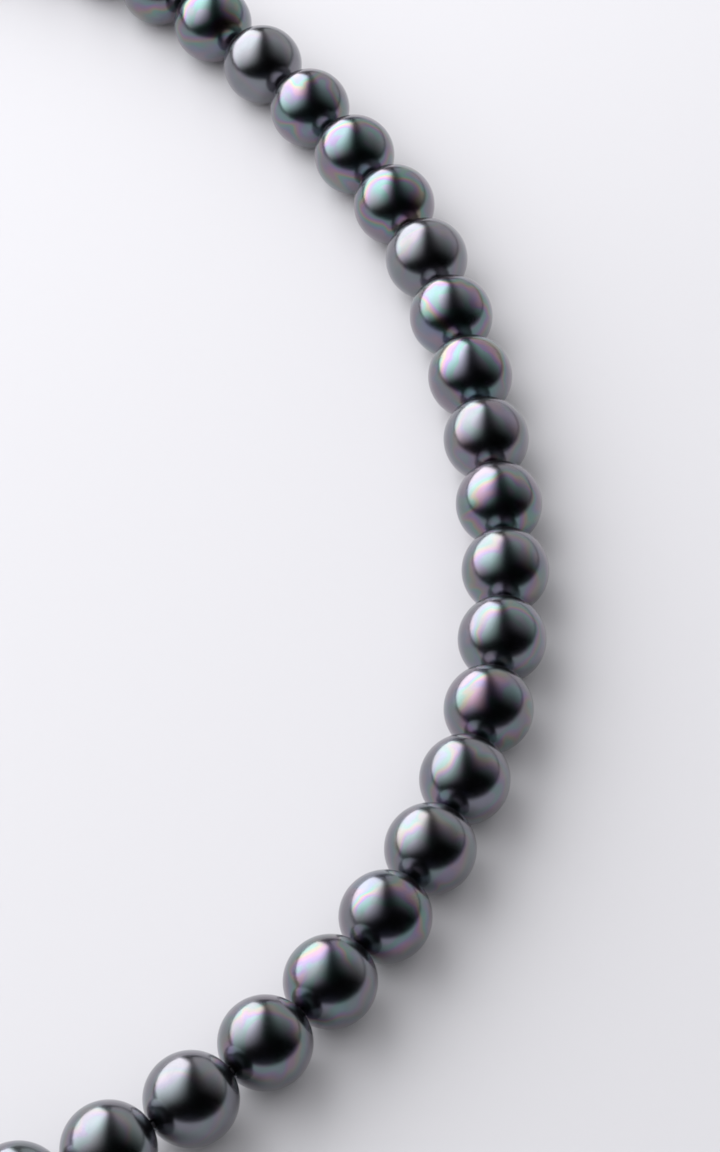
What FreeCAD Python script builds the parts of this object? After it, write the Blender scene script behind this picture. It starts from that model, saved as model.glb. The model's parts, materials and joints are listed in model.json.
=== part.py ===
import FreeCAD, Part
import math
import os

# A single strand of drilled round pearls, threaded touching one another on one cord and laid
# unfastened on a table. Each end of the cord is knotted inside a clamshell bead tip. One bead tip
# carries a jump ring and a lobster clasp with a sprung lever, the other carries the catch ring.
# Millimetres, +Z up, the table at Z = 0, the origin under the middle of the strand's outline.

Vector = FreeCAD.Vector
Rotation = FreeCAD.Rotation
Placement = FreeCAD.Placement
X_AXIS = Vector(1, 0, 0)
Y_AXIS = Vector(0, 1, 0)
Z_AXIS = Vector(0, 0, 1)

# Pearls and cord
PEARL_COUNT = 51
FRONT_PEARL = 26                 # the middle pearl, which lies at the front of the strand
PEARL_DIAMETER = 8.0
PEARL_GAP = 0.12                 # between neighbouring pearls on a straight stretch
BORE_DIAMETER = 1.0
BORE_RIM_RADIUS = 0.12
THREAD_DIAMETER = 0.5
KNOT_DIAMETER = 1.5

# How the strand is laid, from the clasp end round to the ring end: (joints, bend in degrees at each)
LAID_BENDS = [(3, 2.9), (3, 6.4), (6, 9.7), (3, 8.6),
              (10, 6.3), (3, 2.4), (3, 6.3), (3, 3.2),
              (2, 6.2), (2, 9.3), (5, 10.9), (3, 8.6), (4, 4.4)]
FRONT_HEADING = 96.0             # degrees from +X, the way the front pearl's bore points
CLASP_END_TURN = -16.0           # degrees that the clasp lies turned in from the first pearl's bore
RING_END_TURN = 14.0             # degrees that the catch ring lies turned in from the last one's

# Clamshell bead tips
CUP_DIAMETER = 3.5
CUP_WALL = 0.25
CUP_SEAM = 0.08
CUP_DISTANCE = 2.2               # from the last bore's mouth to the middle of the cups
TIP_LOOP_RADIUS = 1.35           # to the middle of the wire
TIP_LOOP_WIRE = 0.5
CLASP_TIP_SLOPE = 16.0           # degrees below level
RING_TIP_SLOPE = 22.0

# Rings
JUMP_RING_RADIUS = 2.0           # to the middle of the wire
JUMP_RING_WIRE = 0.6
JUMP_RING_LEAN = 64.0            # degrees that the ring stands up from the table
JUMP_RING_SLOPE = 5.0
CATCH_RING_RADIUS = 2.6
CATCH_RING_WIRE = 0.8
CATCH_RING_SLOPE = 15.2
RING_CUT = 0.05                  # where a ring was closed
LINK_SLACK = 0.12                # between two linked wires

# Lobster clasp, in its own frame: X from the tail hole to the tip, Z through its thickness
CLASP_SLOPE = 6.3
TAIL_RADIUS = 1.8
TAIL_HOLE_RADIUS = 1.1
TAIL_THICKNESS = 0.9
TAIL_SLACK = 0.3                 # between the jump ring's wire and the tail's wall
NECK_WIDTH = 2.52
HOUSING_X = 4.3
HOUSING_RADIUS = 2.7
HOUSING_THICKNESS = 2.4
HOUSING_ROUND = 0.55
EYE_X = 7.0
EYE_RADIUS = 1.5
CLAW_RADIUS = 2.35               # to the middle of the claw
CLAW_WIRE = 1.7
CLAW_ARC = (-80, 180)            # degrees round the eye from the tip's far side, from its end to its root
GATE_WIRE = 1.4
SLOT_X = (2.6, 5.7)
SLOT_THICKNESS = 1.0
LEVER_THICKNESS = 0.8
LEVER_PIVOT = Vector(4.2, -0.7, 0)
LEVER_HUB_RADIUS = 0.95
GATE_LENGTH = 3.3                # from the pivot to the gate's end
GATE_END_GAP = 0.1
GATE_ROOT_X = 5.7
GATE_ROOT_GAP = 0.2
GATE_SIDE_Y = 0.3                # the claw is open beyond this far to the gate's side
GATE_ARC = (-135, -75)           # degrees round the eye
GATE_WEB_END = Vector(6.1, -2.05, 0)
THUMB_TAB = Vector(4.75, 3.3, 0)
THUMB_TAB_RADIUS = 0.6
THUMB_TAB_THICKNESS = 1.5
ARM_WIDTH = 1.1
RIVET_RADIUS = 0.45
RIVET_CLEARANCE = 0.05
RIVET_HEAD_RADIUS = 0.7
RIVET_HEAD_HEIGHT = 0.12
SPRING_LEAF = 0.12
SPRING_WIDTH = 0.7
SPRING_LEGS_X = (2.70, 3.76)     # middles of the two legs
SPRING_LEGS_Y = (0.9, 2.1)

PEARL_RADIUS = PEARL_DIAMETER / 2
PITCH = PEARL_DIAMETER + PEARL_GAP


def heading_vector(degrees):
    """The level unit vector that points this many degrees round from +X."""
    return Vector(math.cos(math.radians(degrees)), math.sin(math.radians(degrees)), 0)


def sloping(degrees):
    """The unit vector along +X that dips this many degrees below level."""
    return Vector(math.cos(math.radians(degrees)), 0, -math.sin(math.radians(degrees)))


def lay_strand():
    """Centre and heading of each pearl: neighbours share the hinge point half way between them."""
    bends = [bend for joints, bend in LAID_BENDS for _ in range(joints)]
    front = FRONT_PEARL - 1
    headings = [FRONT_HEADING] * PEARL_COUNT
    centres = [Vector(0, 0, PEARL_RADIUS)] * PEARL_COUNT
    for i in range(front + 1, PEARL_COUNT):
        headings[i] = headings[i - 1] + bends[i - 1]
        half_steps = heading_vector(headings[i - 1]) + heading_vector(headings[i])
        centres[i] = centres[i - 1] + half_steps * (PITCH / 2)
    for i in range(front - 1, -1, -1):
        headings[i] = headings[i + 1] - bends[i]
        half_steps = heading_vector(headings[i + 1]) + heading_vector(headings[i])
        centres[i] = centres[i + 1] - half_steps * (PITCH / 2)
    middle = Vector((min(c.x for c in centres) + max(c.x for c in centres)) / 2,
                    (min(c.y for c in centres) + max(c.y for c in centres)) / 2, 0)
    return [c - middle for c in centres], headings, bends


def bar(radius, length, start, direction):
    """A round bar."""
    return Part.makeCylinder(radius, length, start, direction)


def disc(radius, thickness, x=0.0, y=0.0):
    """A round plate, centred on the plane Z = 0."""
    return Part.makeCylinder(radius, thickness, Vector(x, y, -thickness / 2), Z_AXIS)


def wire_arc(ring_radius, wire, centre, from_degrees, sweep_degrees):
    """A bent round wire: a circle of the wire's size turned about Z through the centre."""
    start = centre + X_AXIS * ring_radius
    section = Part.Face(Part.Wire(Part.makeCircle(wire / 2, start, Y_AXIS)))
    bent = section.revolve(centre, Z_AXIS, sweep_degrees)
    bent.rotate(centre, Z_AXIS, from_degrees)
    return bent


def strip(start, end, width, thickness):
    """A flat strip between two points of the plane Z = 0, centred on it."""
    along = end - start
    length = along.Length
    plate = Part.makeBox(length, width, thickness, Vector(0, -width / 2, -thickness / 2))
    plate.rotate(Vector(), Z_AXIS, math.degrees(math.atan2(along.y, along.x)))
    plate.translate(Vector(start.x, start.y, 0))
    return plate


def drilled_pearl():
    """A ball with its bore along X and the bore's two mouths rounded, turned from one outline."""
    bore = BORE_DIAMETER / 2
    rim_up = bore + BORE_RIM_RADIUS
    rim_out = math.sqrt((PEARL_RADIUS - BORE_RIM_RADIUS) ** 2 - rim_up ** 2)
    rim_middle = Vector(rim_out, 0, rim_up)
    outward = Vector(rim_middle).normalize()
    rim_side = (outward - Z_AXIS).normalize()
    inner = Vector(rim_out, 0, bore)
    halfway = rim_middle + rim_side * BORE_RIM_RADIUS
    outer = outward * PEARL_RADIUS

    def mirrored(point):
        return Vector(-point.x, 0, point.z)

    outline = [Part.LineSegment(mirrored(inner), inner),
               Part.Arc(inner, halfway, outer),
               Part.Arc(outer, Z_AXIS * PEARL_RADIUS, mirrored(outer)),
               Part.Arc(mirrored(outer), mirrored(halfway), mirrored(inner))]
    section = Part.Face(Part.Wire([piece.toShape() for piece in outline]))
    return section.revolve(Vector(), X_AXIS, 360)


def thread_path(points):
    """Straight runs joined by tangent arcs, each as large as its two runs allow."""
    edges = []
    radii = []
    at = points[0]
    for before, corner, after in zip(points, points[1:], points[2:]):
        back = (before - corner).normalize()
        ahead = (after - corner).normalize()
        half_turn = (math.pi - back.getAngle(ahead)) / 2
        shorter = min((before - corner).Length, (after - corner).Length)
        cut = 0.45 * shorter
        radius = cut / math.tan(half_turn)
        inward = (back + ahead).normalize()
        arc_start = corner + back * cut
        arc_middle = corner + inward * (radius / math.cos(half_turn) - radius)
        arc_end = corner + ahead * cut
        edges.append(Part.LineSegment(at, arc_start).toShape())
        edges.append(Part.Arc(arc_start, arc_middle, arc_end).toShape())
        radii.append(radius)
        at = arc_end
    edges.append(Part.LineSegment(at, points[-1]).toShape())
    return Part.Wire(edges), radii


def strung_thread(points):
    """The cord along its route, with a knot at each end."""
    path, radii = thread_path(points)
    section = Part.Wire(Part.makeCircle(THREAD_DIAMETER / 2, points[0], points[1] - points[0]))
    tube = path.makePipeShell([section], True, False)
    expected = math.pi * THREAD_DIAMETER ** 2 / 4 * path.Length
    print(f"thread: {path.Length:.1f} mm long, tube volume {tube.Volume:.3f} of {expected:.3f} mm3, "
          f"bend radii {min(radii):.1f} to {max(radii):.1f} mm")
    knots = [Part.makeSphere(KNOT_DIAMETER / 2, end) for end in (points[0], points[-1])]
    return tube.fuse(knots).removeSplitter()


def bead_tip(slope, roll):
    """Two cups closed over the knot, with a wire loop. The loop lies level at a roll of 0."""
    outer = CUP_DIAMETER / 2
    middle = X_AXIS * CUP_DISTANCE
    cups = Part.makeSphere(outer, middle).cut(Part.makeSphere(outer - CUP_WALL, middle))
    cups = cups.cut(bar(BORE_DIAMETER / 2, outer, middle - X_AXIS * (outer + CUP_WALL), X_AXIS))
    seam = disc(outer + CUP_SEAM, CUP_SEAM, CUP_DISTANCE).cut(
        disc(outer - CUP_SEAM, CUP_SEAM, CUP_DISTANCE))
    loop_middle = middle + X_AXIS * (outer + TIP_LOOP_RADIUS + 0.1 * TIP_LOOP_WIRE)
    loop = wire_arc(TIP_LOOP_RADIUS, TIP_LOOP_WIRE, loop_middle, 0, 360)
    tip = cups.cut(seam).fuse(loop).removeSplitter()
    tip.rotate(Vector(), X_AXIS, roll)
    tip.rotate(Vector(), Y_AXIS, slope)
    return tip


def tip_loop_point(slope, wire):
    """Where the middle of a ring's wire crosses a bead tip's loop, pulled to its far side."""
    far_wire = CUP_DISTANCE + CUP_DIAMETER / 2 + 0.1 * TIP_LOOP_WIRE + 2 * TIP_LOOP_RADIUS
    return sloping(slope) * (far_wire - TIP_LOOP_WIRE / 2 - LINK_SLACK - wire / 2)


def leaning_ring(radius, wire, start, slope, lean):
    """A ring whose wire starts at a point, dips along X and leans up from level about that line. A
    fine cut shows where it was closed."""
    ring = wire_arc(radius, wire, Vector(radius, 0, 0), 0, 360)
    cut_start = Vector(radius - RING_CUT / 2, 0, -wire)
    ring = ring.cut(Part.makeBox(RING_CUT, 2 * radius, 2 * wire, cut_start))
    ring.rotate(Vector(), X_AXIS, lean)
    ring.rotate(Vector(), Y_AXIS, slope)
    ring.translate(start)
    return ring


def clasp_body():
    """Tail ring, slotted housing and claw, cast in one."""
    housing = disc(HOUSING_RADIUS, HOUSING_THICKNESS, HOUSING_X)
    rims = [e for e in housing.Edges if isinstance(e.Curve, Part.Circle)]
    housing = housing.makeFillet(HOUSING_ROUND, rims)
    neck = strip(Vector(TAIL_HOLE_RADIUS, 0, 0), Vector(HOUSING_X, 0, 0), NECK_WIDTH, TAIL_THICKNESS)
    claw = wire_arc(CLAW_RADIUS, CLAW_WIRE, Vector(EYE_X, 0, 0), CLAW_ARC[0], CLAW_ARC[1] - CLAW_ARC[0])
    body = disc(TAIL_RADIUS, TAIL_THICKNESS).fuse([neck, housing, claw])
    body = body.cut(disc(EYE_RADIUS, 2 * HOUSING_THICKNESS, EYE_X))
    body = body.cut(disc(TAIL_HOLE_RADIUS, 2 * TAIL_THICKNESS))
    reach = 2 * HOUSING_RADIUS
    slot = Part.makeBox(SLOT_X[1] - SLOT_X[0], 2 * reach, SLOT_THICKNESS,
                        Vector(SLOT_X[0], -reach, -SLOT_THICKNESS / 2))
    gate_sweep = disc(GATE_LENGTH + GATE_END_GAP, 2 * HOUSING_THICKNESS, LEVER_PIVOT.x, LEVER_PIVOT.y)
    gate_corner = Vector(GATE_ROOT_X - GATE_ROOT_GAP, -reach - GATE_SIDE_Y, -HOUSING_THICKNESS)
    gate_side = Part.makeBox(reach, reach, 2 * HOUSING_THICKNESS, gate_corner)
    rivet_hole = disc(RIVET_RADIUS, 2 * HOUSING_THICKNESS, LEVER_PIVOT.x, LEVER_PIVOT.y)
    return body.cut(slot).cut(gate_sweep.common(gate_side)).cut(rivet_hole).removeSplitter()


def clasp_lever():
    """Hub, gate and thumb tab in one piece, closed."""
    hub = disc(LEVER_HUB_RADIUS, LEVER_THICKNESS, LEVER_PIVOT.x, LEVER_PIVOT.y)
    web = strip(LEVER_PIVOT, GATE_WEB_END, ARM_WIDTH, LEVER_THICKNESS)
    gate = wire_arc(CLAW_RADIUS, GATE_WIRE, Vector(EYE_X, 0, 0), GATE_ARC[0], GATE_ARC[1] - GATE_ARC[0])
    reach = 2 * HOUSING_RADIUS
    outside = Part.makeBox(reach, reach, 2 * GATE_WIRE, Vector(GATE_ROOT_X, -reach, -GATE_WIRE))
    within = disc(GATE_LENGTH, 2 * GATE_WIRE, LEVER_PIVOT.x, LEVER_PIVOT.y)
    gate = gate.common(outside).common(within)
    arm = strip(LEVER_PIVOT, THUMB_TAB, ARM_WIDTH, LEVER_THICKNESS)
    tab = disc(THUMB_TAB_RADIUS, THUMB_TAB_THICKNESS, THUMB_TAB.x, THUMB_TAB.y)
    lever = hub.fuse([web, gate, arm, tab])
    bore = disc(RIVET_RADIUS + RIVET_CLEARANCE, 2 * LEVER_THICKNESS, LEVER_PIVOT.x, LEVER_PIVOT.y)
    return lever.cut(bore).removeSplitter()


def clasp_rivet():
    """A pin through both cheeks of the housing, its two heads set over them."""
    shank = disc(RIVET_RADIUS, HOUSING_THICKNESS, LEVER_PIVOT.x, LEVER_PIVOT.y)
    face = LEVER_PIVOT + Z_AXIS * (HOUSING_THICKNESS / 2)
    head = Part.makeCylinder(RIVET_HEAD_RADIUS, RIVET_HEAD_HEIGHT, face, Z_AXIS)
    other = head.mirror(Vector(), Z_AXIS)
    return shank.fuse([head, other]).removeSplitter()


def clasp_spring():
    """A leaf bent into a U, between the slot's back wall and the lever's arm."""
    bend_middle = Vector(sum(SPRING_LEGS_X) / 2, SPRING_LEGS_Y[0], 0)
    bend_radius = (SPRING_LEGS_X[1] - SPRING_LEGS_X[0]) / 2
    ring = disc(bend_radius + SPRING_LEAF / 2, SPRING_WIDTH, bend_middle.x, bend_middle.y)
    ring = ring.cut(disc(bend_radius - SPRING_LEAF / 2, SPRING_WIDTH, bend_middle.x, bend_middle.y))
    reach = HOUSING_RADIUS
    lower = Part.makeBox(2 * reach, reach, 2 * SPRING_WIDTH,
                         Vector(bend_middle.x - reach, bend_middle.y - reach, -SPRING_WIDTH))
    legs = [strip(Vector(x, SPRING_LEGS_Y[0], 0), Vector(x, SPRING_LEGS_Y[1], 0), SPRING_LEAF, SPRING_WIDTH)
            for x in SPRING_LEGS_X]
    return ring.common(lower).fuse(legs).removeSplitter()


def placed(shape, placement):
    """A copy of a shape, moved from its own frame to its place."""
    copy = shape.copy()
    copy.Placement = placement.multiply(shape.Placement)
    return copy


centres, headings, bends = lay_strand()
half_pitch = PITCH / 2
hinges = [c + heading_vector(h) * half_pitch for c, h in zip(centres, headings)]
clasp_exit = centres[0] - heading_vector(headings[0]) * half_pitch
ring_exit = hinges.pop()
clasp_end = Placement(clasp_exit, Rotation(Z_AXIS, headings[0] + 180 + CLASP_END_TURN))
ring_end = Placement(ring_exit, Rotation(Z_AXIS, headings[-1] + RING_END_TURN))

jump_ring_start = tip_loop_point(CLASP_TIP_SLOPE, JUMP_RING_WIRE)
jump_ring_far = jump_ring_start + sloping(JUMP_RING_SLOPE) * (2 * JUMP_RING_RADIUS)
tail_offset = TAIL_HOLE_RADIUS - JUMP_RING_WIRE / 2 - TAIL_SLACK
tail_hole = jump_ring_far + sloping(CLASP_SLOPE) * tail_offset
clasp_frame = clasp_end.multiply(Placement(tail_hole, Rotation(Y_AXIS, CLASP_SLOPE)))
catch_ring_start = tip_loop_point(RING_TIP_SLOPE, CATCH_RING_WIRE)

parts = {}
pearl = drilled_pearl()
for i, (centre, heading) in enumerate(zip(centres, headings)):
    parts[f"pearl_{i + 1:02d}"] = placed(pearl, Placement(centre, Rotation(Z_AXIS, heading)))

clasp_knot = clasp_end.multVec(sloping(CLASP_TIP_SLOPE) * CUP_DISTANCE)
ring_knot = ring_end.multVec(sloping(RING_TIP_SLOPE) * CUP_DISTANCE)
parts["thread"] = strung_thread([clasp_knot, clasp_exit, *hinges, ring_exit, ring_knot])

jump_ring = leaning_ring(JUMP_RING_RADIUS, JUMP_RING_WIRE, jump_ring_start, JUMP_RING_SLOPE,
                         JUMP_RING_LEAN)
catch_ring = leaning_ring(CATCH_RING_RADIUS, CATCH_RING_WIRE, catch_ring_start, CATCH_RING_SLOPE, 0)

parts["bead_tip_clasp_end"] = placed(bead_tip(CLASP_TIP_SLOPE, JUMP_RING_LEAN - 90), clasp_end)
parts["jump_ring"] = placed(jump_ring, clasp_end)
parts["lobster_clasp_body"] = placed(clasp_body(), clasp_frame)
parts["clasp_lever"] = placed(clasp_lever(), clasp_frame)
parts["clasp_rivet"] = placed(clasp_rivet(), clasp_frame)
parts["clasp_spring"] = placed(clasp_spring(), clasp_frame)
parts["bead_tip_ring_end"] = placed(bead_tip(RING_TIP_SLOPE, 90), ring_end)
parts["catch_ring"] = placed(catch_ring, ring_end)

os.makedirs("parts", exist_ok=True)
for name, shape in parts.items():
    shape.exportStep(f"parts/{name}.step")
    box = shape.BoundBox
    if not name.startswith("pearl"):
        print(f"{name}: valid {shape.isValid()}, solids {len(shape.Solids)}, "
              f"volume {shape.Volume:.2f} mm3, lowest {box.ZMin:.2f}, highest {box.ZMax:.2f}")
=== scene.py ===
import json
import math
import bpy
import numpy as np
from mathutils import Euler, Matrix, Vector

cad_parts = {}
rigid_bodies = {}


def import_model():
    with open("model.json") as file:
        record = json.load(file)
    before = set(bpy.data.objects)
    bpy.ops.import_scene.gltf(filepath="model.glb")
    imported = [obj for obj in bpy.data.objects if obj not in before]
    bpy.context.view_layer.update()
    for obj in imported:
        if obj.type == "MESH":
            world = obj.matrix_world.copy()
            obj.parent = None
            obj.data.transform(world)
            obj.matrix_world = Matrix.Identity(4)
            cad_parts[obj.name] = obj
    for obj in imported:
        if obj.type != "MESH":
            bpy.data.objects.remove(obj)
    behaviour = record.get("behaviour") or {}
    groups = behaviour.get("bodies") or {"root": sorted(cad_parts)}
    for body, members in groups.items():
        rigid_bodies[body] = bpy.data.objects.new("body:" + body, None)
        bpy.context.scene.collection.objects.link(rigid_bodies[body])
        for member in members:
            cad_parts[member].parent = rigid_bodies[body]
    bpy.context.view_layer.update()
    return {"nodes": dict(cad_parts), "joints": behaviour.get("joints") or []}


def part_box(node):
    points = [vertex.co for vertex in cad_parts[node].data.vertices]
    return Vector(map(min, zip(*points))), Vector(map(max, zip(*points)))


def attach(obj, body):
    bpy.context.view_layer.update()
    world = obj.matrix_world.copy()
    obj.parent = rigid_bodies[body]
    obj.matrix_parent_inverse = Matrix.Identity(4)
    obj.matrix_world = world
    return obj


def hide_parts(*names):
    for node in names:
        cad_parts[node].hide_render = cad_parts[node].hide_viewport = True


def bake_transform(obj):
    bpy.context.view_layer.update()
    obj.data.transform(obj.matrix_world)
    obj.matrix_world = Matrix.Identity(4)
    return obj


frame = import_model()
scene = bpy.context.scene


# The pearls: fifty-one round balls of pressed shell, eight millimetres across and drilled through
# the middle, dipped in a dark mirror-like nacre lacquer. The lacquer's thickness wanders, so each
# pearl carries soft clouds of pink, green, blue or violet of its own over a smoky grey.
PEARL_RADIUS = 0.004
BORE_RADIUS = 0.0005
BORE_RIM = 0.00012
PEARL_SIDES = 72
BALL_STATIONS = 57
RIM_STATIONS = 7
BORE_STATIONS = 8
NACRE_GREY = (0.206, 0.207, 0.224)
NACRE_ROUGHNESS = 0.20
LACQUER_WEIGHT = 0.35
LACQUER_ROUGHNESS = 0.05
NEUTRAL_TINT = (0.96, 0.97, 1.0)
TINT_RINGS = [(0.02, (0.92, 0.92, 1.12)), (0.13, (0.60, 1.08, 0.94)), (0.29, (0.66, 1.02, 1.04)),
              (0.39, (0.94, 0.70, 1.20)), (0.49, (1.26, 0.74, 0.98)), (0.57, (1.14, 1.00, 0.70)),
              (0.67, (0.58, 1.12, 0.88)), (0.79, (0.76, 0.86, 1.16)), (0.90, (1.14, 0.82, 1.00))]
OVERTONE_SEED = 35363
OVERTONE_RANGE = (0.15, 1.0)
SPRAYED_SIDE = (0.0, -0.65, 0.76)
SPRAY_SCATTER = 0.22
NOISE_REACH = 60                 # how far apart the pearls lie in the noise, in pearl radii

strand_joints = sorted((j for j in frame["joints"] if j["name"].startswith("strand_")),
                       key=lambda j: j["name"])
hinges = np.array([j["pos_m"] for j in strand_joints])
pearl_names = [f"pearl_{number:02d}" for number in range(1, len(hinges) + 2)]


def unit(vectors):
    """Each vector divided by its own length."""
    return vectors / np.linalg.norm(vectors, axis=-1, keepdims=True)


def middle_of(node):
    """The middle of a part's box."""
    low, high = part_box(node)
    return np.array((low + high) / 2)


# Neighbouring pearls share a hinge point half way between them, on both of their bores.
pearl_middles = np.vstack([middle_of(pearl_names[0]),
                           (hinges[:-1] + hinges[1:]) / 2,
                           middle_of(pearl_names[-1])])
bore_lines = unit(np.vstack([hinges[0] - pearl_middles[0],
                             hinges[1:] - hinges[:-1],
                             pearl_middles[-1] - hinges[-1]]))


def grid_faces(rows, columns, rows_close=False):
    """Four-sided faces between the points of a grid, row after row. The last column joins the first,
    and so does the last row if the rows close."""
    r = np.arange(rows if rows_close else rows - 1)[:, None]
    c = np.arange(columns)[None, :]
    r_next = (r + 1) % rows
    c_next = (c + 1) % columns
    corners = [r * columns + c, r_next * columns + c, r_next * columns + c_next, r * columns + c_next]
    return np.stack(corners, axis=-1).reshape(-1, 4)


def make_piece(name, points, faces, material, slot_name):
    """A smooth piece from points and faces, turned outwards: where the volume summed over the faces'
    triangles comes out negative, every face is reversed."""
    a, b, c, d = (points[faces[:, k]] for k in range(4))
    volume = (a * np.cross(b, c)).sum() + (a * np.cross(c, d)).sum()
    outward = faces if volume > 0 else faces[:, ::-1]
    mesh = bpy.data.meshes.new(name)
    mesh.from_pydata(points.tolist(), [], outward.tolist())
    mesh.shade_smooth()
    mesh.materials.append(material)
    piece = bpy.data.objects.new(name, mesh)
    scene.collection.objects.link(piece)
    return piece


def square_axes(along):
    """Two unit vectors square to a line and to each other: one level, one near to upright."""
    level = unit(np.cross(along, (0.0, 0.0, 1.0)))
    return level, np.cross(level, along)


def pearl_section():
    """Half the section of a drilled pearl, as distances along the bore and out from it. A circle
    runs from one mouth to the other, a small arc tangent to it rounds each mouth, and a straight
    line runs back through the bore."""
    rim_out = BORE_RADIUS + BORE_RIM
    rim_along = math.sqrt((PEARL_RADIUS - BORE_RIM) ** 2 - rim_out ** 2)
    mouth = math.asin(rim_out / (PEARL_RADIUS - BORE_RIM))
    ball = np.linspace(mouth, math.pi - mouth, BALL_STATIONS)
    far_rim = np.linspace(math.pi - mouth, 1.5 * math.pi, RIM_STATIONS)[1:]
    near_rim = np.linspace(-0.5 * math.pi, mouth, RIM_STATIONS)[:-1]
    bore = np.linspace(-rim_along, rim_along, BORE_STATIONS)[1:-1]
    along = np.concatenate([PEARL_RADIUS * np.cos(ball), -rim_along + BORE_RIM * np.cos(far_rim),
                            bore, rim_along + BORE_RIM * np.cos(near_rim)])
    out = np.concatenate([PEARL_RADIUS * np.sin(ball), rim_out + BORE_RIM * np.sin(far_rim),
                          np.full(len(bore), BORE_RADIUS), rim_out + BORE_RIM * np.sin(near_rim)])
    return along, out


class Term:
    """A shader socket that arithmetic can be written on. Each operation adds a Math node."""

    def __init__(self, finish, socket):
        self.finish = finish
        self.socket = socket

    def worked(self, operation, *values):
        return self.finish.node("ShaderNodeMath", {"operation": operation}, dict(enumerate(values)))

    def __add__(self, other):
        return self.worked("ADD", self, other)

    def __sub__(self, other):
        return self.worked("SUBTRACT", self, other)

    def __rsub__(self, other):
        return self.worked("SUBTRACT", other, self)

    def __mul__(self, other):
        return self.worked("MULTIPLY", self, other)

    def __truediv__(self, other):
        return self.worked("DIVIDE", self, other)

    def __rpow__(self, other):
        return self.worked("POWER", other, self)

    def __neg__(self):
        return self.worked("MULTIPLY", self, -1)

    def __abs__(self):
        return self.worked("ABSOLUTE", self)

    __radd__ = __add__
    __rmul__ = __mul__

    def ramped(self, low, high):
        """0 up to low, 1 from high, and an S-shaped rise between them."""
        return self.finish.node("ShaderNodeMapRange", {"interpolation_type": "SMOOTHSTEP"},
                                {"Value": self, "From Min": low, "From Max": high})


class Finish:
    """A material, and the nodes that are written into it."""

    def __init__(self, name):
        self.material = bpy.data.materials.new(name)
        self.material.use_nodes = True
        self.tree = self.material.node_tree
        self.tree.nodes.clear()

    def node(self, kind, settings=None, sockets=None, output=0):
        """A node of this kind: its settings first, then each socket's value or link. It gives back
        one of the node's outputs."""
        made = self.tree.nodes.new(kind)
        for setting, value in (settings or {}).items():
            setattr(made, setting, value)
        for socket, value in (sockets or {}).items():
            if isinstance(value, Term):
                self.tree.links.new(value.socket, made.inputs[socket])
            else:
                made.inputs[socket].default_value = value
        return Term(self, made.outputs[output]) if made.outputs else None

    def colour_ramp(self, factor, stops):
        """Colours by value: stops are pairs of a place and a colour."""
        made = self.tree.nodes.new("ShaderNodeValToRGB")
        made.color_ramp.interpolation = "EASE"
        for place, _ in stops[2:]:
            made.color_ramp.elements.new(place)
        for element, (place, colour) in zip(made.color_ramp.elements, stops):
            element.position = place
            element.color = (*colour, 1)
        self.tree.links.new(factor.socket, made.inputs[0])
        return Term(self, made.outputs[0])

    def mixed(self, factor, first, second, blend="MIX"):
        """Two colours mixed or multiplied by a factor."""
        sockets = {0: factor, 6: first, 7: second}
        return self.node("ShaderNodeMix", {"data_type": "RGBA", "blend_type": blend}, sockets, 2)

    def surface(self, sockets):
        """The one surface shader of the material, with its sockets' values or links."""
        shader = self.node("ShaderNodeBsdfPrincipled", {}, sockets)
        self.node("ShaderNodeOutputMaterial", {}, {"Surface": shader})
        return self.material


def opaque(colour):
    """A colour with full opacity, as a colour socket takes it."""
    return (*colour, 1)


def nacre_material():
    """Smoky mirror lacquer. Its tint goes through blue, green, violet, pink and straw in rings about
    the side that was sprayed, and the rings wander with a noise. The pearl's own overtone says how
    strong they are. The coat has faint dimples and a fine grain."""
    nacre = Finish("black_nacre")
    place = nacre.node("ShaderNodeAttribute", {"attribute_name": "nacre_place"}, output="Vector")
    overtone = nacre.node("ShaderNodeAttribute", {"attribute_name": "overtone"}, output="Fac")
    from_sprayed = nacre.node("ShaderNodeAttribute", {"attribute_name": "from_sprayed"}, output="Fac")
    wander = nacre.node("ShaderNodeTexNoise", {}, {"Vector": place, "Scale": 1.1, "Detail": 1.5,
                                                  "Roughness": 0.5, "Distortion": 0.6})
    clouds = nacre.node("ShaderNodeTexNoise", {}, {"Vector": place, "Scale": 1.6, "Detail": 1.0})
    bands = from_sprayed * 0.9 + (wander - 0.5) * 1.5 + 0.04
    tints = nacre.colour_ramp(bands, TINT_RINGS)
    middle_strength = 1 - from_sprayed.ramped(0.50, 0.90) * 0.5
    strength = overtone * clouds.ramped(0.22, 0.52) * middle_strength
    tint = nacre.mixed(strength, opaque(NEUTRAL_TINT), tints)
    grain = nacre.node("ShaderNodeTexNoise", {}, {"Vector": place, "Scale": 26.0, "Detail": 3.0})
    depth = clouds.ramped(0.3, 0.7) * 0.12 + grain * 0.16 + 0.82
    shade = nacre.node("ShaderNodeCombineColor", {}, {0: depth, 1: depth, 2: depth})
    grey = nacre.mixed(1.0, opaque(NACRE_GREY), shade, "MULTIPLY")
    colour = nacre.mixed(1.0, grey, tint, "MULTIPLY")
    dimples = nacre.node("ShaderNodeTexVoronoi", {}, {"Vector": place, "Scale": 3.1})
    height = dimples.ramped(0.015, 0.06) * 0.5 + grain * 0.06
    bump = nacre.node("ShaderNodeBump", {}, {"Strength": 0.10, "Distance": 0.00004, "Height": height})
    return nacre.surface({"Base Color": colour, "Metallic": 1.0,
                          "Roughness": grain * 0.06 + NACRE_ROUGHNESS, "Normal": bump,
                          "Coat Weight": LACQUER_WEIGHT, "Coat Roughness": LACQUER_ROUGHNESS})


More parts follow.
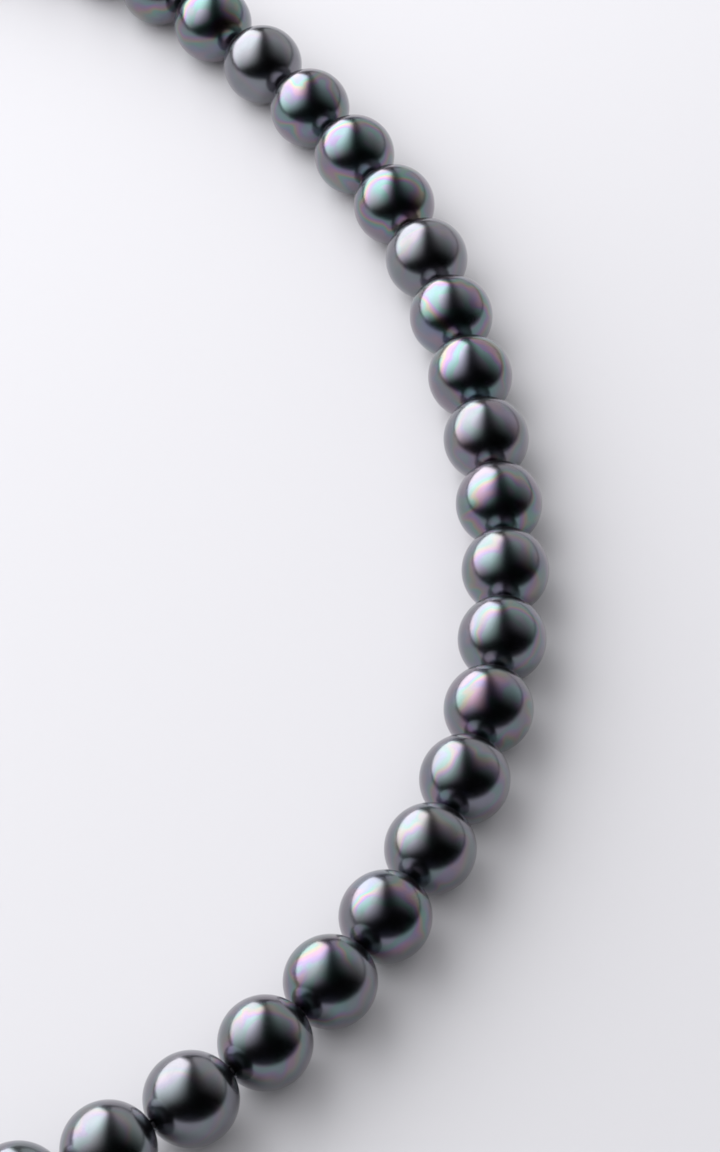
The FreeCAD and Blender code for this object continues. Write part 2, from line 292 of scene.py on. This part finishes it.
black_nacre = nacre_material()
section_along, section_out = pearl_section()
turns = np.linspace(0, 2 * math.pi, PEARL_SIDES, endpoint=False)
pearl_faces = grid_faces(len(section_along), PEARL_SIDES, rows_close=True)
fortune = np.random.default_rng(OVERTONE_SEED)

for name, middle, along in zip(pearl_names, pearl_middles, bore_lines):
    level, upright = square_axes(along)
    around = np.cos(turns)[:, None] * level + np.sin(turns)[:, None] * upright
    from_middle = section_along[:, None, None] * along + section_out[:, None, None] * around
    from_middle = from_middle.reshape(-1, 3)
    pearl = make_piece(name + "_nacre", middle + from_middle, pearl_faces, black_nacre, "pearl")
    own_turn = np.array(Euler(fortune.uniform(0, 2 * math.pi, 3)).to_matrix())
    noise_middle = fortune.uniform(-NOISE_REACH, NOISE_REACH, 3)
    place = (from_middle / PEARL_RADIUS) @ own_turn.T + noise_middle
    place_data = pearl.data.attributes.new("nacre_place", "FLOAT_VECTOR", "POINT")
    place_data.data.foreach_set("vector", place.astype(np.float32).ravel())
    scatter = fortune.uniform(-SPRAY_SCATTER, SPRAY_SCATTER, 3)
    sprayed = unit(np.array(SPRAYED_SIDE) + scatter)
    from_sprayed = 1 - (unit(from_middle) @ sprayed) ** 2
    overtone = np.full(len(place), fortune.uniform(*OVERTONE_RANGE))
    for value_name, values in (("overtone", overtone), ("from_sprayed", from_sprayed)):
        value_data = pearl.data.attributes.new(value_name, "FLOAT", "POINT")
        value_data.data.foreach_set("value", values.astype(np.float32))
    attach(pearl, name)
    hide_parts(name)


# The thread: one length of dark three-ply polyester, half a millimetre thick, run once through all
# the bores. It is knotted at both ends, and each knot sits shut inside a bead tip.
THREAD_RADIUS = 0.00025
PLIES = 3
PLY_GROOVE = 0.17
TWIST_LENGTH = 0.0018
THREAD_SIDES = 24
THREAD_STEP = 0.00018
END_TAPER = 0.02                 # of the full radius, at a closed end
THREAD_DARK = (0.018, 0.018, 0.022)
THREAD_LIGHT = (0.060, 0.060, 0.070)


def thread_material():
    """Dark spun polyester: fine streaks along the plies in colour, roughness and bump."""
    thread = Finish("spun_thread")
    place = thread.node("ShaderNodeTexCoord", output="Object")
    streaks = thread.node("ShaderNodeTexNoise", {}, {"Vector": place, "Scale": 9000.0, "Detail": 2.0})
    colour = thread.mixed(streaks, opaque(THREAD_DARK), opaque(THREAD_LIGHT))
    bump = thread.node("ShaderNodeBump", {}, {"Strength": 0.4, "Distance": 0.00003, "Height": streaks})
    return thread.surface({"Base Color": colour, "Roughness": streaks * 0.2 + 0.55, "Normal": bump})


def smooth_line(corners, step):
    """Points a step apart along straight runs."""
    runs = np.diff(corners, axis=0)
    lengths = np.linalg.norm(runs, axis=1)
    places = np.concatenate([[0.0], np.cumsum(lengths)])
    wanted = np.linspace(0, places[-1], max(3, int(places[-1] / step)))
    return np.stack([np.interp(wanted, places, corners[:, k]) for k in range(3)], axis=1)


def plied_tube(line):
    """A twisted cord along a line of points. Its radius dips between the plies, as a cosine of three
    times the turn, and the dips wind round with the distance run. Both ends close to a point."""
    level, upright = square_axes(unit(np.gradient(line, axis=0)))
    run_so_far = np.concatenate([[0.0], np.cumsum(np.linalg.norm(np.diff(line, axis=0), axis=1))])
    angle = np.linspace(0, 2 * math.pi, THREAD_SIDES, endpoint=False)[None, :]
    winding = angle - 2 * math.pi * run_so_far[:, None] / TWIST_LENGTH
    radius = THREAD_RADIUS * (1 - PLY_GROOVE * (0.5 - 0.5 * np.cos(PLIES * winding)))
    radius[[0, -1]] *= END_TAPER
    points = (line[:, None, :] + (radius * np.cos(angle))[..., None] * level[:, None, :]
              + (radius * np.sin(angle))[..., None] * upright[:, None, :])
    return points.reshape(-1, 3), grid_faces(len(line), THREAD_SIDES)


spun_thread = thread_material()
for joint, hinge in zip(strand_joints, hinges):
    first, second = sorted((joint["parent"], joint["child"]))
    ends = [pearl_middles[pearl_names.index(name)] for name in (first, second)]
    thread_run = smooth_line(np.array([ends[0], hinge, ends[1]]), THREAD_STEP)
    length = make_piece(f"thread_{first[-2:]}_{second[-2:]}", *plied_tube(thread_run), spun_thread,
                        "thread")
    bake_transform(length)
    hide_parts("thread")


# The knots: one overhand knot at each end of the thread, pulled up against the cups of its bead tip,
# and the last stretch of thread that leads to it from the end pearl's bore.
KNOT_DISTANCE = 0.0022
KNOT_SCALE = 0.00016
KNOT_DEPTH = 2.4
KNOT_SQUEEZE = 0.8               # of the thread's radius, as it is pulled tight
KNOT_TURNS = 160
KNOT_SIDES = 16

joints = {joint["name"]: joint for joint in frame["joints"]}


def joint_place(name):
    """The point that a joint turns about."""
    return np.array(joints[name]["pos_m"])


def overhand_knot(middle):
    """A thread along a trefoil line: a circle and a double circle added in one plane, and three
    waves across it. Its rings are squared up on the way out from the middle."""
    t = np.linspace(0, 2 * math.pi, KNOT_TURNS, endpoint=False)
    trefoil = KNOT_SCALE * np.stack([np.sin(t) + 2 * np.sin(2 * t), np.cos(t) - 2 * np.cos(2 * t),
                                     -KNOT_DEPTH * np.sin(3 * t)], axis=1)
    along = unit(np.roll(trefoil, -1, axis=0) - np.roll(trefoil, 1, axis=0))
    outward = unit(trefoil - (trefoil * along).sum(axis=1, keepdims=True) * along)
    across = np.cross(along, outward)
    angle = np.linspace(0, 2 * math.pi, KNOT_SIDES, endpoint=False)[None, :, None]
    rings = np.cos(angle) * outward[:, None, :] + np.sin(angle) * across[:, None, :]
    points = middle + trefoil[:, None, :] + KNOT_SQUEEZE * THREAD_RADIUS * rings
    return points.reshape(-1, 3), grid_faces(KNOT_TURNS, KNOT_SIDES, rows_close=True)


for end_pearl, tip, tip_joint, ring_joint in (
        (pearl_names[0], "bead_tip_clasp_end", "clasp_end_tip_swing", "jump_ring_swing"),
        (pearl_names[-1], "bead_tip_ring_end", "ring_end_tip_swing", "catch_ring_swing")):
    start = pearl_middles[pearl_names.index(end_pearl)]
    bore_mouth = joint_place(tip_joint)
    knot_middle = bore_mouth + KNOT_DISTANCE * unit(joint_place(ring_joint) - bore_mouth)
    run = smooth_line(np.array([start, bore_mouth, knot_middle]), THREAD_STEP)
    length = make_piece("thread_" + tip, *plied_tube(run), spun_thread, "thread")
    (knot_middle + bore_mouth) / 2
    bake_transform(length)
    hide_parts("thread")
    knot = make_piece("knot_" + tip, *overhand_knot(knot_middle), spun_thread, "thread")
    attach(knot, tip)
    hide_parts("thread")


# The fittings: two clamshell bead tips, a jump ring, a lobster clasp with its lever and rivet, and the
# catch ring, all brass, barrelled smooth and plated a bright silver colour.
PLATED_PARTS = ("bead_tip_clasp_end", "jump_ring", "lobster_clasp_body", "clasp_lever", "clasp_rivet",
                "bead_tip_ring_end", "catch_ring")
PLATING_BRIGHT = (0.66, 0.65, 0.63)
PLATING_DULL = (0.55, 0.54, 0.53)


def plated_material():
    """Bright plating: faint cloudy dulling, fine hairlines from barrelling and a soft waviness."""
    plating = Finish("bright_plating")
    place = plating.node("ShaderNodeTexCoord", output="Object")
    clouds = plating.node("ShaderNodeTexNoise", {}, {"Vector": place, "Scale": 900.0, "Detail": 3.0})
    hairlines = plating.node("ShaderNodeTexNoise", {}, {"Vector": place, "Scale": 2600.0,
                                                       "Detail": 6.0, "Distortion": 3.0})
    colour = plating.mixed(clouds.ramped(0.35, 0.70), opaque(PLATING_BRIGHT), opaque(PLATING_DULL))
    height = hairlines * 0.4 + clouds
    bump = plating.node("ShaderNodeBump", {}, {"Strength": 0.12, "Distance": 0.00002,
                                               "Height": height})
    return plating.surface({"Base Color": colour, "Metallic": 1.0,
                            "Roughness": clouds.ramped(0.4, 0.7) * 0.10 + hairlines * 0.08 + 0.10,
                            "Normal": bump})


bright_plating = plated_material()
for part in PLATED_PARTS:
    for slot in frame["nodes"][part].material_slots:
        slot.material = bright_plating


# The spring: a leaf of ground steel bent to a U in the housing's slot. One leg leans on the slot's
# back wall and the other on the lever's arm.
LEAF_THICKNESS = 0.00012
LEAF_WIDTH = 0.0007
BEND_RADIUS = 0.00053
BEND_FROM_PIVOT = (-0.00097, 0.0016)
LEG_LENGTH = 0.0012
LEG_STATIONS = 10
BEND_STATIONS = 32
LEAF_SIDES = 32
LEAF_SQUARENESS = 0.3
STEEL_DARK = (0.34, 0.35, 0.38)
STEEL_LIGHT = (0.55, 0.55, 0.57)


def spring_material():
    """Steel leaf, ground along its length: fine streaks in colour and roughness."""
    steel = Finish("spring_steel")
    place = steel.node("ShaderNodeTexCoord", output="Object")
    streaks = steel.node("ShaderNodeTexNoise", {}, {"Vector": place, "Scale": 5000.0, "Detail": 4.0})
    colour = steel.mixed(streaks, opaque(STEEL_DARK), opaque(STEEL_LIGHT))
    return steel.surface({"Base Color": colour, "Metallic": 1.0, "Roughness": streaks * 0.3 + 0.2})


def spring_leaf():
    """The U as a line of stations, and round each a section that is a power of a circle's sine and
    cosine, nearly square. It gives back the points, the faces and the clasp's lengthwise line."""
    upward = np.array(joints["clasp_lever_pivot"]["axis"])
    upward = upward * np.sign(upward[2])
    crosswise = unit(np.cross(upward, upward * (1, 1, 0)))
    lengthwise = np.cross(crosswise, upward)
    half_turn = np.linspace(math.pi, 2 * math.pi, BEND_STATIONS)
    wall_leg = np.linspace(LEG_LENGTH, 0, LEG_STATIONS, endpoint=False)
    turn = np.pad(half_turn, LEG_STATIONS, mode="edge")
    forward = BEND_RADIUS * np.cos(turn)
    sideways = np.concatenate([wall_leg, BEND_RADIUS * np.sin(half_turn), wall_leg[::-1]])
    forward, sideways, turn = (np.pad(values, 1, mode="edge") for values in (forward, sideways, turn))
    middles = (joint_place("clasp_lever_pivot") + (BEND_FROM_PIVOT[0] + forward)[:, None] * lengthwise
               + (BEND_FROM_PIVOT[1] + sideways)[:, None] * crosswise)
    outward = np.cos(turn)[:, None] * lengthwise + np.sin(turn)[:, None] * crosswise
    angle = np.linspace(0, 2 * math.pi, LEAF_SIDES, endpoint=False)
    circle = np.stack([np.cos(angle), np.sin(angle)])
    thick, wide = np.sign(circle) * np.abs(circle) ** LEAF_SQUARENESS / 2
    closing = np.ones((len(turn), 1, 1))
    closing[[0, -1]] = END_TAPER
    section = (LEAF_THICKNESS * thick[:, None] * outward[:, None, :]
               + LEAF_WIDTH * wide[:, None] * upward)
    points = middles[:, None, :] + closing * section
    return points.reshape(-1, 3), grid_faces(len(turn), LEAF_SIDES), lengthwise


*leaf_surface, clasp_line = spring_leaf()
leaf = make_piece("clasp_spring_leaf", *leaf_surface, spring_material(), "spring_steel")
bend_place = joint_place("clasp_lever_pivot") + BEND_FROM_PIVOT[0] * clasp_line
bend_place - BEND_RADIUS * clasp_line
bend_place + BEND_RADIUS * clasp_line
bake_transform(leaf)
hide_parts("clasp_spring")


# The table: a smooth white board of laminate, flat under the whole necklace. Away from the necklace
# it goes over into a cove that glows evenly.
TABLE_SIZE = 6.0
TABLE_COLOUR = (0.660, 0.655, 0.688)
TABLE_MOTTLE = (0.98, 1.02)
LIT_TABLE = (0.105, 0.23)        # from the middle, where the cove sets in and where it is full
COVE_GLOW = (0.80, 0.80, 0.83)
BLACK = (0, 0, 0, 1)
WHITE = (1, 1, 1, 1)


def table_material():
    """White laminate: a very faint mottle in colour and a soft satin, and the cove's glow."""
    table = Finish("white_table")
    place = table.node("ShaderNodeTexCoord", output="Object")
    mottle = table.node("ShaderNodeTexNoise", {}, {"Vector": place, "Scale": 6.0, "Detail": 4.0})
    darker, lighter = (opaque(np.array(TABLE_COLOUR) * shade) for shade in TABLE_MOTTLE)
    away = table.node("ShaderNodeVectorMath", {"operation": "LENGTH"}, {0: place}, "Value")
    far = away.ramped(*LIT_TABLE)
    colour = table.mixed(far, table.mixed(mottle, darker, lighter), BLACK)
    glow = table.mixed(far, BLACK, opaque(COVE_GLOW))
    return table.surface({"Base Color": colour, "Roughness": 0.75, "Specular IOR Level": 0.1,
                          "Emission Color": glow, "Emission Strength": 1.0})


def staged(name, points, material):
    """A flat board of the stage, which isn't part of the necklace."""
    mesh = bpy.data.meshes.new(name)
    mesh.from_pydata([tuple(p) for p in points], [], [(0, 1, 2, 3)])
    mesh.materials.append(material)
    board = bpy.data.objects.new(name, mesh)
    scene.collection.objects.link(board)
    return board


half = TABLE_SIZE / 2
staged("table", [(-half, -half, 0), (half, -half, 0), (half, half, 0), (-half, half, 0)],
       table_material())


# The tent: a ridge tent of white cloth over the table, lit from outside. The left slope is bright, the
# right one dim, and both fall away to darkness towards the open front.
RIDGE_HEIGHT = 0.66
RIDGE_GAP = 0.008
SLOPE_RUN = 1.04
SLOPE_LOW = 0.09
TENT_BACK = 4.5
TENT_FRONT = -1.6
BRIGHT_GLOW = 4.15
DIM_GLOW = 0.85
VIEWED_PEARL = "pearl_16"
CAMERA_FROM_PEARL = (0.02036, -0.17208, 0)

camera_foot = Vector(pearl_middles[pearl_names.index(VIEWED_PEARL)]) + Vector(CAMERA_FROM_PEARL)
ridge_x = camera_foot.x


class Slope(Finish):
    """The lit cloth of one slope of the tent, with the distances that its light is written on: how
    far to the side of the ridge a spot is, and how far back."""

    def __init__(self, name):
        super().__init__(name)
        place = self.node("ShaderNodeTexCoord", output="Object")
        self.back = self.node("ShaderNodeSeparateXYZ", {}, {0: place}, 1)
        self.side = abs(self.node("ShaderNodeSeparateXYZ", {}, {0: place}, 0) - ridge_x)

    def lit(self, light, strength):
        """The cloth glows by a value from 0 to 1."""
        shade = self.mixed(light, BLACK, WHITE)
        glow = self.node("ShaderNodeEmission", {}, {"Color": shade, "Strength": strength})
        self.node("ShaderNodeOutputMaterial", {}, {"Surface": glow})
        return self.material


def bright_cloth():
    """The lamp stands to the left. The light rises with the distance from the ridge, over a width that
    shrinks as a power towards the back. It dies away towards the open front and, close to the ridge,
    towards the far back."""
    cloth = Slope("left_cloth")
    from_ridge = cloth.side / (0.40 * 3.3 ** -cloth.back)
    from_front = cloth.back - cloth.side * 0.12
    corner = cloth.side * 3 - cloth.back
    light = from_ridge.ramped(0, 1) * from_front.ramped(-0.68, 0.34) * corner.ramped(-1.05, -0.40)
    return cloth.lit(light, BRIGHT_GLOW)


def dim_cloth():
    """Only the light that crosses the tent: it rises from front to back, and from the ridge down over
    a width that shrinks towards the back."""
    cloth = Slope("right_cloth")
    from_ridge = cloth.side / (0.42 * 2.5 ** -cloth.back)
    return cloth.lit(from_ridge.ramped(0.10, 1.0) * cloth.back.ramped(-0.30, 0.60), DIM_GLOW)


for name, way, cloth in (("left_slope", -1, bright_cloth()), ("right_slope", 1, dim_cloth())):
    top = ridge_x + way * RIDGE_GAP
    low = ridge_x + way * SLOPE_RUN
    slope = staged(name, [(top, TENT_FRONT, RIDGE_HEIGHT), (top, TENT_BACK, RIDGE_HEIGHT),
                          (low, TENT_BACK, SLOPE_LOW), (low, TENT_FRONT, SLOPE_LOW)], cloth)
    slope.visible_camera = False
    slope.visible_shadow = False


# The fill: a wide soft lamp over the front, which lightens the shadows and is seen in no reflection,
# and the dark room round the tent.
FILL_SIZE = 3.0
FILL_POWER = 22.0
FILL_PLACE = (0, -0.8, 1.6)
FILL_TILT = 27
ROOM_DARK = (0.009, 0.010, 0.018)

fill_data = bpy.data.lights.new("fill", "AREA")
fill_data.size = FILL_SIZE
fill_data.energy = FILL_POWER
fill_data.cycles.use_multiple_importance_sampling = False
fill = bpy.data.objects.new("fill", fill_data)
fill.location = FILL_PLACE
fill.rotation_euler = (math.radians(FILL_TILT), 0, 0)
fill.visible_glossy = False
scene.collection.objects.link(fill)

room = bpy.data.worlds.new("room")
room.use_nodes = True
scene.world = room
background = room.node_tree.nodes["Background"]
light_path = room.node_tree.nodes.new("ShaderNodeLightPath")
seen = room.node_tree.nodes.new("ShaderNodeMix")
seen.data_type = "RGBA"
seen.inputs[6].default_value = opaque(ROOM_DARK)
seen.inputs[7].default_value = opaque(COVE_GLOW)
room.node_tree.links.new(light_path.outputs["Is Camera Ray"], seen.inputs[0])
room.node_tree.links.new(seen.outputs[2], background.inputs["Color"])


# The camera: a long lens above the front of the strand, looking away over it and steeply down.
CAMERA_HEIGHT = 0.2793
CAMERA_PITCH = 49.77
CAMERA_LENS = 123.94

camera_data = bpy.data.cameras.new("camera")
camera_data.lens = CAMERA_LENS
camera_data.clip_start = 0.005
camera = bpy.data.objects.new("camera", camera_data)
camera.location = (camera_foot.x, camera_foot.y, CAMERA_HEIGHT)
camera.rotation_euler = (math.radians(90 - CAMERA_PITCH), 0, 0)
scene.collection.objects.link(camera)
scene.camera = camera
scene.view_settings.view_transform = "Standard"
